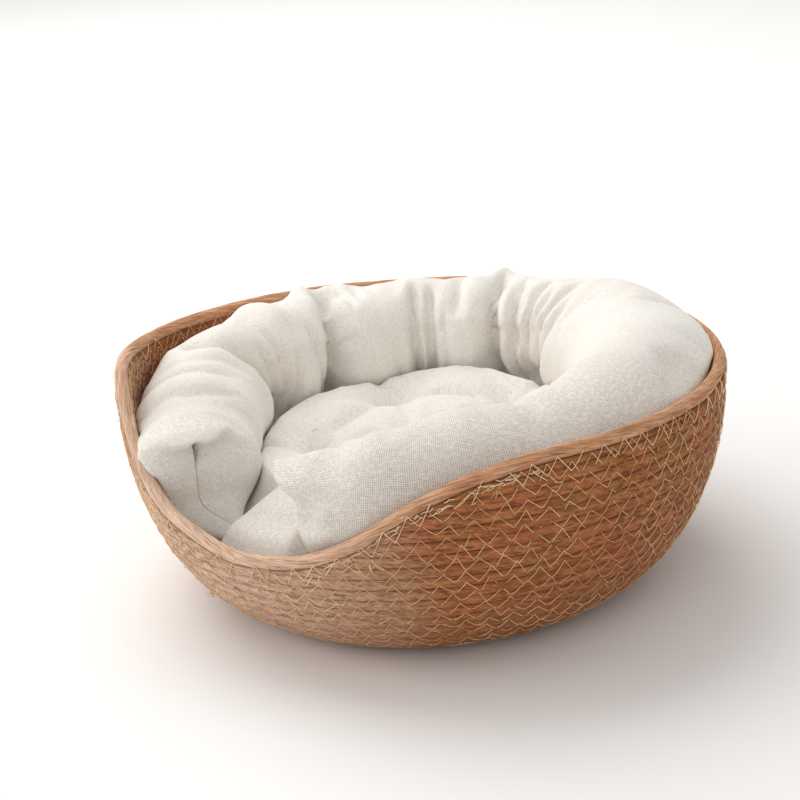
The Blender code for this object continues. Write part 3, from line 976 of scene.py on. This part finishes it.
def vertex_vectors(mesh, name="co"):
    flat = np.empty(len(mesh.vertices) * 3, np.float32)
    mesh.vertices.foreach_get(name, flat)
    return flat.reshape(-1, 3)


def coordinates(mesh):
    return vertex_vectors(mesh).astype(float)


def set_coordinates(mesh, points):
    mesh.vertices.foreach_set("co", np.ascontiguousarray(points, np.float32).ravel())
    mesh.update()


def weights(obj, name, values):
    """A vertex group with weights in steps of a twentieth."""
    group = obj.vertex_groups.new(name=name)
    steps = np.round(np.clip(values, 0, 1) * 20).astype(int)
    for step in range(1, 21):
        chosen = np.flatnonzero(steps == step).tolist()
        if chosen:
            group.add(chosen, step / 20, "REPLACE")


CLOTH = {
    "quality": 6,
    "mass": 0.12,
    "tension_stiffness": 22,
    "compression_stiffness": 16,
    "shear_stiffness": 6,
    "bending_stiffness": 0.04,
    "tension_damping": 4,
    "compression_damping": 4,
    "shear_damping": 4,
    "bending_damping": 0.5,
    "air_damping": 2,
    "use_pressure": True,
    "vertex_group_mass": "held",
    "pin_stiffness": 2,
    "vertex_group_shrink": "growth",
    "shrink_min": -0.01,
}
CLOTH_FRAMES = 20


def blow_up(obj, growth, held, most_growth, cap, pressure):
    """Cloth simulation: cloth that grows by its growth weights, filled by pressure, moved by up to cap."""
    before = coordinates(obj.data)
    weights(obj, "growth", growth)
    weights(obj, "held", held)
    cloth = obj.modifiers.new("cloth", "CLOTH")
    for key, value in CLOTH.items():
        setattr(cloth.settings, key, value)
    cloth.settings.uniform_pressure_force = pressure
    cloth.settings.effector_weights.gravity = 0
    cloth.settings.shrink_max = -most_growth
    cloth.collision_settings.use_collision = False
    cloth.point_cache.frame_start = 1
    cloth.point_cache.frame_end = CLOTH_FRAMES
    scene = bpy.context.scene
    scene.frame_start, scene.frame_end = 1, CLOTH_FRAMES
    for number in range(1, CLOTH_FRAMES + 1):
        scene.frame_set(number)
    graph = bpy.context.evaluated_depsgraph_get()
    after = coordinates(obj.evaluated_get(graph).data)
    obj.modifiers.remove(cloth)
    scene.frame_set(1)
    move = after - before
    length = np.linalg.norm(move, axis=1)
    scale = cap * np.tanh(length / cap) / np.maximum(length, 1e-9)
    set_coordinates(obj.data, before + move * scale[:, None])
    obj.vertex_groups.clear()


def polar(points):
    """Heading, radius and height of points."""
    heading = np.mod(np.arctan2(points[:, 0], -points[:, 1]), TURN)
    return heading, np.hypot(points[:, 0], points[:, 1]), points[:, 2]


def wall_inside_radius(height):
    """Radius of the wall's inner face at a height."""
    arc = arc_at_height(height)
    radius, centre_height = wall_at(arc)
    radius_up, height_up = wall_at(arc + SMALL)
    slope = np.arctan2(height_up - centre_height, radius_up - radius)
    return radius - ROW_HALF_DEPTH / np.maximum(np.sin(slope), 0.2)


def keep_inside_wall(points, clearance):
    """Moves points off the wall's inner face, and up off the rim cord where cloth lies over it."""
    heading, radius, height = polar(points)
    rim_centre = rim_top(heading) - RIM_CORD_RADIUS
    rim_radius = wall_at(rim_arc(heading))[0]
    most = wall_inside_radius(np.minimum(height, rim_centre)) - clearance
    most = np.minimum(most, rim_radius - RIM_VISUAL_RADIUS - clearance)
    below = height < rim_centre
    new_radius = np.where(below, np.minimum(radius, most), radius)
    keep = RIM_VISUAL_RADIUS + clearance
    across, rise = new_radius - rim_radius, height - rim_centre
    across = np.where(~below & (rise < 1.2 * keep), np.minimum(across, 0.0), across)
    distance = np.hypot(across, rise)
    inside = ~below & (distance < keep)
    push = np.where(inside, keep / np.maximum(distance, 1e-6), 1.0)
    new_radius = rim_radius + across * push
    new_height = rim_centre + rise * push
    scale = new_radius / np.maximum(radius, 1e-6)
    return np.stack([points[:, 0] * scale, points[:, 1] * scale, new_height], -1)


def smoother(obj, levels=1):
    """Adds one subdivision and applies it."""
    modifier = obj.modifiers.new("smooth", "SUBSURF")
    modifier.levels = modifier.render_levels = levels
    graph = bpy.context.evaluated_depsgraph_get()
    made = bpy.data.meshes.new_from_object(obj.evaluated_get(graph), depsgraph=graph)
    obj.modifiers.remove(modifier)
    obj.data = made


def point_values(obj, layer):
    """The values of a point attribute, which is removed."""
    attribute = obj.data.attributes[layer]
    values = np.empty(len(obj.data.vertices), np.float32)
    attribute.data.foreach_get("value", values)
    obj.data.attributes.remove(attribute)
    return values.astype(float)


def build_roll(linen, thread):
    roll = roll_mesh("bolster_linen")
    growth, held = point_values(roll, "growth"), point_values(roll, "held")
    blow_up(roll, growth, held, 0.18, 0.012, pressure=5.0)
    set_coordinates(roll.data, keep_inside_wall(coordinates(roll.data), 0.002))
    smoother(roll)
    layers = ("place", "cosine", "sine", "open")
    place, cosine, sine, closing = (point_values(roll, layer) for layer in layers)
    section = np.degrees(np.mod(np.arctan2(sine, cosine), TURN))
    relief = fine_relief(place, section) * smooth_step(closing * 2)
    relief = relief - SEAM_DEPTH * np.exp(-closing / 0.05)
    points = coordinates(roll.data) + vertex_vectors(roll.data, "normal") * relief[:, None]
    points = keep_inside_wall(points, 0.0008)
    set_coordinates(roll.data, points)
    dress(roll, linen, "bolster", "linen", "bolster_cover", "bolster_filling")
    # The seam threads are dark: partly the seam's own thread, partly painted shade of the seam's groove
    for name, chosen in (("right", place < 90), ("left", place > 270)):
        line = coordinates(roll.data)[(closing < 0.004) & chosen]
        line = line[np.argsort(line[:, 2])]
        share = np.linspace(0, len(line) - 1, SEAM_POINTS)
        line = np.stack([np.interp(share, np.arange(len(line)), line[:, axis]) for axis in range(3)], -1)
        seam = strands_mesh(f"bolster_{name}_seam", line[None], 0.00038, 6)
        dress(seam, thread, "bolster", "thread")


# ---------------------------------------------------------------- linen seat
SEAT_RADIUS = 0.1955
SEAT_CELLS = 100
SEAT_SEAM_HEIGHT = 0.064
SEAT_TOP = 0.1175
SEAT_EDGE = 0.178  # radius from which the top falls to the seam
TUFT_RING = 0.082
TUFT_HEADINGS = [21, 93, 165, 237, 309]
TUFTS = [(0.0, 0.0)]
for tuft_heading in map(math.radians, TUFT_HEADINGS):
    TUFTS.append((TUFT_RING * math.sin(tuft_heading), -TUFT_RING * math.cos(tuft_heading)))
CREASES_PER_TUFT = 7
TACKS = [f"seat_tack_{number}" for number in range(1, 7)]


def seat_disc():
    """A square grid drawn onto a disc: x and y shares from -1 to 1."""
    line = np.linspace(-1, 1, SEAT_CELLS + 1)
    u, v = np.meshgrid(line, line, indexing="ij")
    return u * np.sqrt(1 - v * v / 2), v * np.sqrt(1 - u * u / 2)


def under_roll(radius, heading):
    """Height of the lower side of the roll over a radius, at a heading in degrees."""
    centre, height, half_width, half_height = roll_shape(np.mod(heading, 360))
    inside = np.clip(1 - ((radius - centre) / half_width) ** 2, 0, 1)
    return height - (half_height + 0.001) * np.sqrt(inside)


def tuft_dip(x, y):
    """Depth of the hollows round the tufts and of the valleys from tuft to tuft and out to the edge."""
    dip = np.zeros_like(x)
    for tuft_x, tuft_y in TUFTS:
        distance = np.hypot(x - tuft_x, y - tuft_y)
        dip = np.maximum(dip, 0.034 / (1 + (distance / 0.015) ** 1.5))
    middle, ring = TUFTS[0], TUFTS[1:]
    for tuft, following in zip(ring, ring[1:] + ring[:1], strict=True):
        outer = (1.9 * tuft[0], 1.9 * tuft[1])
        for start, end, depth in ((tuft, following, 0.016), (middle, tuft, 0.014), (tuft, outer, 0.016)):
            run = np.array(end) - np.array(start)
            share = np.clip(((x - start[0]) * run[0] + (y - start[1]) * run[1]) / (run @ run), 0, 1)
            distance = np.hypot(x - start[0] - share * run[0], y - start[1] - share * run[1])
            dip = np.maximum(dip, depth / (1 + (distance / 0.0085) ** 1.6))
    return dip


def seat_top_height(x, y):
    """Height of the seat's top: tufted inside the roll, pressed down under it, plain in the roll's gap."""
    radius = np.hypot(x, y)
    heading = np.degrees(np.arctan2(x, -y))
    crown = SEAT_TOP + 0.045 * y - 0.004 * np.exp(-((radius / 0.05) ** 2))
    height = crown - tuft_dip(x, y)
    gap = window(heading, -17, 12, 6.0)
    front = 0.109 - 0.018 * smooth_step((radius - 0.125) / 0.07)
    under = under_roll(radius, heading) - 0.0025
    outside = np.minimum(height, under * (1 - gap) + np.minimum(front, height + 0.02) * gap)
    outside = height + (outside - height) * smooth_step((radius - 0.088) / 0.012)
    edge = smooth_step((radius - SEAT_EDGE) / (SEAT_RADIUS - SEAT_EDGE))
    return outside + (SEAT_SEAM_HEIGHT - outside) * edge * edge * (1 - 0.55 * gap)


def seat_lines(x, y):
    """Depth of the sharp creases that run out of each tuft."""
    depth = np.zeros_like(x)
    for number, (tuft_x, tuft_y) in enumerate(TUFTS):
        across, up = x - tuft_x, y - tuft_y
        distance = np.hypot(across, up)
        turn = np.arctan2(across, -up) / TURN * CREASES_PER_TUFT
        wave = np.abs(np.mod(turn + 0.37 * number + 0.6 * noise(distance / 0.02, number, 71), 1) - 0.5)
        side = wave / CREASES_PER_TUFT * TURN * distance
        depth = np.maximum(depth, 0.0032 * np.exp(-side / 0.0022) * np.exp(-distance / 0.022))
    return depth


def seat_bottom_height(radius):
    """Height of the seat's lower side, which lies in the bowl of the wall."""
    centre, rise = wall_at(np.linspace(0, WALL_ARCS[-1] * 0.75, 200))
    bowl = np.interp(radius, centre - ROW_HALF_DEPTH * 0.7, rise + ROW_HALF_DEPTH * 1.1)
    return np.maximum(bowl, 2 * CORD_RADIUS) + 0.0022


def above_seam(height):
    return smooth_step((height - 0.070) / 0.015)


def seat_mesh(name):
    """The seat as it is before it is blown up: a top and a bottom grid that meet at the seam."""
    share_x, share_y = seat_disc()
    x, y = share_x * SEAT_RADIUS, share_y * SEAT_RADIUS
    radius = np.hypot(x, y)
    cells = SEAT_CELLS + 1
    top = seat_top_height(x, y)
    bottom = np.minimum(seat_bottom_height(radius), SEAT_SEAM_HEIGHT)
    bottom = bottom + (top - bottom) * smooth_step((radius - 0.185) / (SEAT_RADIUS - 0.185))
    points = np.concatenate([np.stack([x, y, height], -1).reshape(-1, 3) for height in (top, bottom)])
    i, j = np.meshgrid(np.arange(SEAT_CELLS), np.arange(SEAT_CELLS), indexing="ij")
    corner = i * cells + j
    quads = np.stack([corner, corner + cells, corner + cells + 1, corner + 1], -1).reshape(-1, 4)
    faces = np.concatenate([quads, quads[:, ::-1] + cells * cells])
    # Cloth lengths: the falling sides take more cloth than they cover seen from above
    fall = np.clip(SEAT_TOP - 0.006 - points[:, 2:], 0, 1)
    spread = 1 + fall * 0.9 / np.maximum(np.hypot(*points[:, :2].T), 0.09)[:, None]
    seat = mesh_object(name, points, faces, (points[:, :2] * spread)[faces.reshape(-1)])
    weld(seat, 0.0001)
    return seat


def seat_weights(points):
    """Where the seat's cloth grows, and where it is held: at the tufts, under the roll, near the seam."""
    _, radius, height = polar(points)
    upper = above_seam(height)
    held = 1 - upper * (1 - smooth_step((radius - 0.104) / 0.012))
    heading = np.degrees(np.arctan2(points[:, 0], -points[:, 1]))
    gap = window(heading, -24, 9, 6.0) * upper
    held = held * (1 - gap * (1 - smooth_step((radius - 0.165) / 0.02)))
    for tuft_x, tuft_y in TUFTS:
        distance = np.hypot(points[:, 0] - tuft_x, points[:, 1] - tuft_y)
        held = np.maximum(held, (distance < 0.006) * upper)
    return upper, held


def tack_paths():
    """Three short threads side by side at each tuft, along a different heading each time."""
    share = np.linspace(-1, 1, 7)[:, None]
    for name in TACKS:
        low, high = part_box(name)
        middle = (low + high) / 2
        turn = 0.7 * int(name[-1])
        along = np.array([math.cos(turn), math.sin(turn), 0.0])
        for shift in (-0.0011, 0.0, 0.0011):
            across = np.array([-math.sin(turn), math.cos(turn), 0.0]) * shift
            start = np.array([middle.x, middle.y, low.z])
            yield start + across + along * share * 0.003 + np.array([0, 0, 0.0012]) * (1 - share**2)


def build_seat(linen, thread):
    seat = seat_mesh("seat_linen")
    growth, held = seat_weights(coordinates(seat.data))
    blow_up(seat, growth, held, 0.08, 0.010, pressure=3.0)
    smoother(seat)
    points = coordinates(seat.data)
    _, radius, height = polar(points)
    creased = above_seam(height) * (1 - smooth_step((radius - 0.115) / 0.02))
    points[:, 2] -= seat_lines(points[:, 0], points[:, 1]) * creased
    set_coordinates(seat.data, points)
    dress(seat, linen, "seat_cushion", "linen", "seat_top_panel", "seat_bottom_panel", "seat_filling")
    tacks = strands_mesh("seat_tacks", np.stack([*tack_paths()]), 0.0003, 6)
    dress(tacks, thread, "seat_cushion", "thread", *TACKS)


# ---------------------------------------------------------------- linen
THREAD_SPACING = 0.00118
NEAR_SIDE = (0.632, -0.774, 0.0)  # the roll's fuller side
COARSE_SHARE = [(0.0, 0.12), (0.8, 1)]  # the cloth is coarser towards that side
NEAR_SIDE_SHADE_SHARE = [(0.54, 0), (0.74, 0.28)]  # painted shade: the cloth is a little darker and greyer on that side


def wavering_uv(tree):
    """The cloth's UV, bent a little so that no thread runs quite straight."""
    uv = fibre_uv(tree)
    bent = node(tree, "TexNoise", {"Vector": uv, "Scale": 55.0, "Detail": 2.0}).outputs["Color"]
    shift = vector_math(tree, "SUBTRACT", bent, (0.5, 0.5, 0.5)).outputs[0]
    shift = node(tree, "VectorMath", {0: shift, "Scale": 0.0030}, operation="SCALE").outputs[0]
    return vector_math(tree, "ADD", uv, shift).outputs[0]


def weave_height(tree, uv):
    """Height of a plain weave: each thread goes over and under the threads that cross it."""
    u, v = parted(tree, uv)
    heights = []
    for along, across, lift in ((u, v, 0.35), (v, u, -0.35)):
        rows = math_node(tree, "SINE", math_node(tree, "MULTIPLY", across, TURN / 2 / THREAD_SPACING))
        beat = math_node(tree, "SINE", math_node(tree, "MULTIPLY", along, TURN / 2 / THREAD_SPACING))
        over = math_node(tree, "MULTIPLY", beat, rows)
        heights.append(math_node(tree, "MULTIPLY_ADD", over, lift, math_node(tree, "ABSOLUTE", rows)))
    return math_node(tree, "MAXIMUM", *heights)


def slub_noise(tree, uv):
    """Thick and thin stretches of the threads both ways."""
    u, v = parted(tree, uv)
    slubs = []
    for along, across in ((u, v), (v, u)):
        scaled = [math_node(tree, "MULTIPLY", along, 210.0), math_node(tree, "MULTIPLY", across, 900.0)]
        vector = node(tree, "CombineXYZ", enumerate(scaled)).outputs[0]
        slubs.append(noise_node(tree, vector, 1.0, 2.0, 0.6))
    return math_node(tree, "MULTIPLY", math_node(tree, "ADD", *slubs), 0.5)


def linen_material(name):
    """Plain weave of uneven threads, with slubs, small dark gaps between threads, warm flecks, and painted
    shade on the roll's near side.
    """
    made, tree = new_material(name)
    uv = wavering_uv(tree)
    weave = weave_height(tree, uv)
    slub = slub_noise(tree, uv)
    wide = noise_node(tree, uv, 9.0, 3.0)
    pale = ramp(tree, wide, [(0.35, (0.90, 0.862, 0.80)), (0.65, (0.94, 0.912, 0.862))])
    threads = ramp(tree, slub, [(0.34, (0.76, 0.72, 0.68)), (0.5, 1), (0.66, 1.05)])
    base = mix(tree, 0.6, pale, threads, "MULTIPLY")
    coarse = ramp(tree, towards(tree, NEAR_SIDE, 5.0), COARSE_SHARE)
    uneven = ramp(tree, noise_node(tree, uv, 330.0, 2.0, 0.6), [(0.34, 0.25), (0.56, 1)])
    coarse = mix(tree, 1.0, coarse, uneven, "MULTIPLY")
    gaps = ramp(tree, weave, [(0.50, (0.22, 0.18, 0.14)), (0.92, 1)])
    base = mix(tree, coarse, base, gaps, "MULTIPLY")
    # Painted shade: darker and greyer on the roll's near side
    near_side_shade = ramp(tree, towards(tree, NEAR_SIDE, 4.0), NEAR_SIDE_SHADE_SHARE)
    base = mix(tree, near_side_shade, base, (0.62, 0.56, 0.50))
    specks = noise_node(tree, uv, 760.0, 1.0)
    flecks = ramp(tree, specks, [(0.30, (0.70, 0.64, 0.57)), (0.46, (0.97, 0.965, 0.96)), (0.62, 1.03)])
    base = mix(tree, 0.3, base, flecks, "MULTIPLY")
    bump = (math_node(tree, "MULTIPLY_ADD", slub, 0.8, weave), 0.5, 0.0005)
    finish_material(tree, base, 0.92, bump, specular=0.15, sheen=0.25, sheen_roughness=0.6)
    return made


# ---------------------------------------------------------------- camera, light, floor
CAMERA_TARGET = Vector((0.0, 0.0, 0.0675))
CAMERA_DISTANCE = 1.5975
CAMERA_AZIMUTH = math.radians(39.24)
CAMERA_ELEVATION = math.radians(22.9)
CAMERA_ROLL = math.radians(4.38)
CAMERA_LENS = 94.8
SENSOR = 36.0
TARGET_RIGHT = 0.01362  # where the target stands from the middle of the view, as tangents
TARGET_DOWN = 0.03669


def add_object(name, data):
    obj = bpy.data.objects.new(name, data)
    bpy.context.scene.collection.objects.link(obj)
    return obj


def add_camera():
    level_right = Vector((math.cos(CAMERA_AZIMUTH), math.sin(CAMERA_AZIMUTH), 0.0))
    level_back = Vector((math.sin(CAMERA_AZIMUTH), -math.cos(CAMERA_AZIMUTH), 0.0))
    back = level_back * math.cos(CAMERA_ELEVATION) + Vector((0.0, 0.0, math.sin(CAMERA_ELEVATION)))
    level_up = back.cross(level_right)
    right = level_right * math.cos(CAMERA_ROLL) - level_up * math.sin(CAMERA_ROLL)
    up = level_up * math.cos(CAMERA_ROLL) + level_right * math.sin(CAMERA_ROLL)
    axes = Matrix((right, up, back)).transposed()
    seen = Vector((TARGET_RIGHT, -TARGET_DOWN, -1.0)).normalized()
    aim = seen.rotation_difference(Vector((0.0, 0.0, -1.0))).to_matrix()
    data = bpy.data.cameras.new("camera")
    data.lens = CAMERA_LENS
    data.sensor_width = SENSOR
    data.clip_start = 0.05
    data.clip_end = 30.0
    camera = add_object("camera", data)
    camera.matrix_world = Matrix.Translation(CAMERA_TARGET + back * CAMERA_DISTANCE) @ (axes @ aim).to_4x4()
    bpy.context.scene.camera = camera


FLOOR_HALF = 6.0
FLOOR_DROP = 0.0006  # the floor lies a little low, because the skin of the cords stands out


def add_stage():
    mesh = bpy.data.meshes.new("floor")
    corners = [(-1, -1), (1, -1), (1, 1), (-1, 1)]
    mesh.from_pydata([(x * FLOOR_HALF, y * FLOOR_HALF, 0) for x, y in corners], [], [(0, 1, 2, 3)])
    floor = add_object("floor", mesh)
    floor.location.z = -FLOOR_DROP
    made, tree = new_material("pale_floor")
    finish_material(tree, (0.93, 0.93, 0.925), 0.8, specular=0.1)
    floor.data.materials.append(made)


# Softboxes: place, size, power and colour; all aim at the middle of the basket
SOFTBOXES = {
    "key": ((-1.45, 0.5, 2.15), 2.8, 47.0, (1.0, 0.99, 0.975)),
    "left": ((-2.1, -1.3, 0.8), 1.2, 16.0, (1.0, 0.985, 0.96)),
    "fill": ((0.6, -2.2, 1.2), 1.6, 4.0, (1.0, 0.98, 0.955)),
}
LIGHT_AIM = Vector((0.0, 0.0, 0.08))


def add_light():
    world = bpy.data.worlds.new("studio")
    world.use_nodes = True
    background = world.node_tree.nodes["Background"]
    background.inputs["Color"].default_value = (1.0, 0.985, 0.965, 1.0)
    background.inputs["Strength"].default_value = 0.64
    bpy.context.scene.world = world
    for name, (place, size, power, colour) in SOFTBOXES.items():
        data = bpy.data.lights.new(name, "AREA")
        data.shape = "DISK"
        data.size = size
        data.energy = power
        data.color = colour
        lamp = add_object(name, data)
        lamp.location = place
        lamp.rotation_euler = (LIGHT_AIM - Vector(place)).to_track_quat("-Z", "Y").to_euler()
    settings = bpy.context.scene.view_settings
    settings.view_transform = "Standard"
    settings.look = "None"


# ---------------------------------------------------------------- building it all
add_camera()
add_light()
add_stage()
THREAD = thread_material("straw_thread", (0.95, 0.68, 0.39), (0.66, 0.36, 0.16))
# Partly painted shade: a thread darker than the linen draws the shade in the end seams' groove as well as
# the seam
SEAM_SHADE_THREAD = thread_material("seam_shade_thread", (0.50, 0.44, 0.36), (0.42, 0.36, 0.29))
LINEN_THREAD = thread_material("linen_thread", (0.80, 0.76, 0.69), (0.70, 0.65, 0.57))
LINEN = linen_material("linen")
build_basket(THREAD)
build_seat(LINEN, LINEN_THREAD)
build_roll(LINEN, SEAM_SHADE_THREAD)
